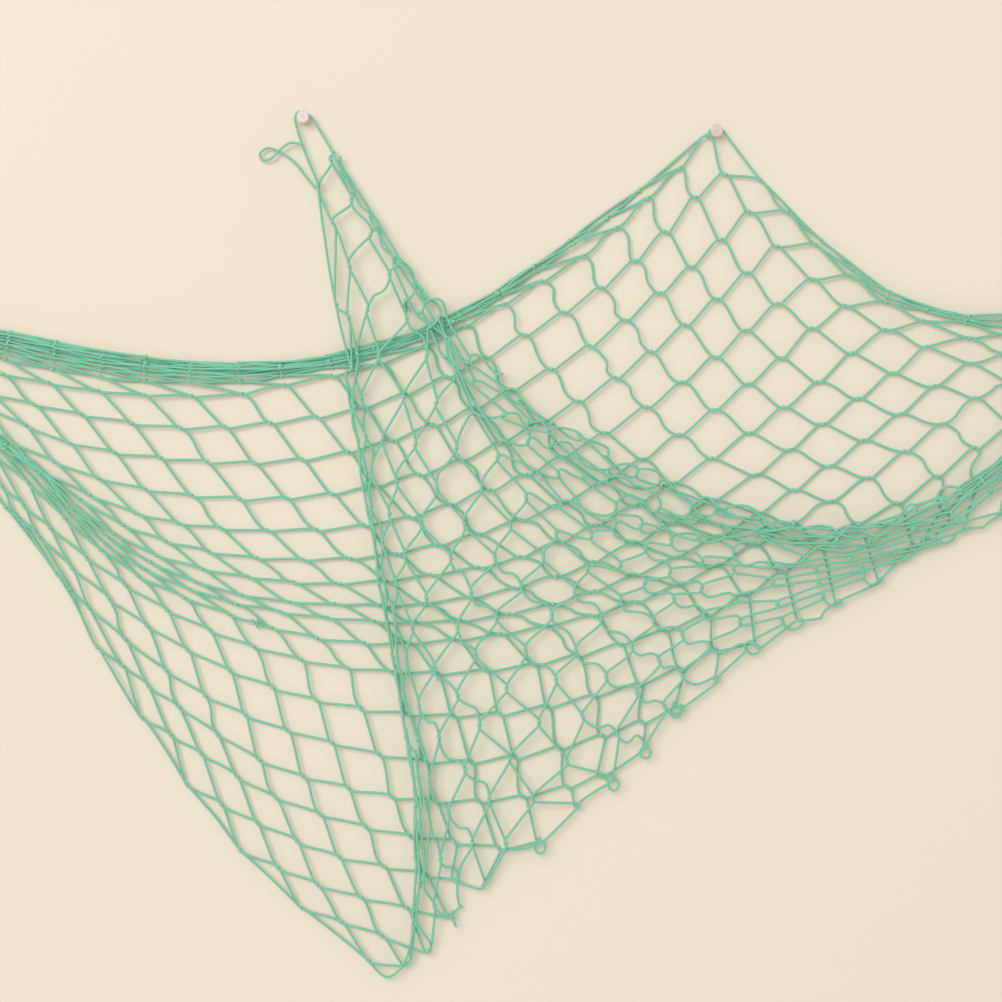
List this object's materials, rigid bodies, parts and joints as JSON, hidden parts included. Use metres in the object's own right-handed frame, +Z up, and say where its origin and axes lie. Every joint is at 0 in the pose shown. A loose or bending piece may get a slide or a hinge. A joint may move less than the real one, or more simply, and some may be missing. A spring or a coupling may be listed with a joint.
{
  "type": "decorative fishing net with push pins",
  "caption": "Green knotted twine net, draped back over itself at a slanting fold and hung on a wall from clear push pins.",
  "frame": {"origin": "on the wall plane, at the axis of the middle push pin", "axes": "+X to the right along the wall, +Y into the wall, so the room side is -Y, and +Z up"},
  "size_m": [0.9622, 0.0249, 0.685],
  "materials": {
    "twine": "matt twisted twine",
    "clear_plastic": "clear moulded plastic with a bright steel needle"
  },
  "bodies": {
    "root": {"net": "twine", "pin_left": "clear_plastic", "pin_flap": "clear_plastic", "pin_middle": "clear_plastic", "pin_right": "clear_plastic"}
  },
  "joints": []
}
